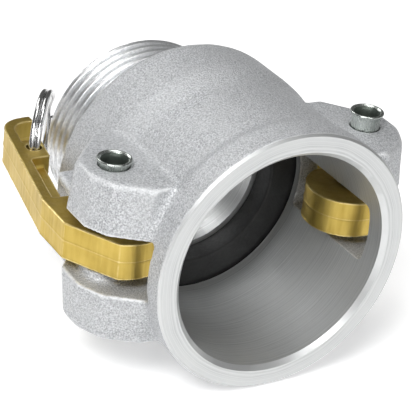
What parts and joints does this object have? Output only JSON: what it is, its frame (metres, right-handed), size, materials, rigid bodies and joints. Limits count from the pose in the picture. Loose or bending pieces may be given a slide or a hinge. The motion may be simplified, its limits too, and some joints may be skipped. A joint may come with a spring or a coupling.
{
  "type": "cam and groove coupling",
  "caption": "Female cam and groove coupling: a cast socket with a gasket, cam levers on pins with finger rings, and a male pipe thread at the other end.",
  "frame": {"origin": "where the axis of the socket bore meets the plane of the two lever pins", "axes": "+Y along the bore from the mouth to the thread, +Z along the lever pins, +X across from pin to pin"},
  "size_m": [0.0736, 0.072, 0.056],
  "materials": {
    "cast_body": "sand-blasted casting with machined mouth, bore and thread",
    "gasket": "smooth black rubber",
    "lever": "forged and tumbled brass",
    "pin": "zinc plated",
    "ring": "bright spring wire"
  },
  "bodies": {
    "coupler": {"coupler_body": "cast_body", "gasket": "gasket", "pivot_pin_left": "pin", "pivot_pin_right": "pin"},
    "left_lever": {"cam_lever_left": "lever"},
    "right_lever": {"cam_lever_right": "lever"},
    "left_ring": {"finger_ring_left": "ring"},
    "right_ring": {"finger_ring_right": "ring"}
  },
  "joints": [
    {"name": "left_lever_hinge", "type": "hinge", "parent": "coupler", "child": "left_lever", "pos_m": [-0.0288, 0, 0], "axis": [0, 0, 1], "range_deg": [0, 148]},
    {"name": "right_lever_hinge", "type": "hinge", "parent": "coupler", "child": "right_lever", "pos_m": [0.0288, 0, 0], "axis": [0, 0, -1], "range_deg": [0, 148]},
    {"name": "left_ring_swivel", "type": "hinge", "parent": "left_lever", "child": "left_ring", "pos_m": [-0.02854, 0.0343, 0], "axis": [0, 0, 1], "range_deg": [0, 120]},
    {"name": "right_ring_swivel", "type": "hinge", "parent": "right_lever", "child": "right_ring", "pos_m": [0.02854, 0.0343, 0], "axis": [0, 0, -1], "range_deg": [0, 120]}
  ]
}
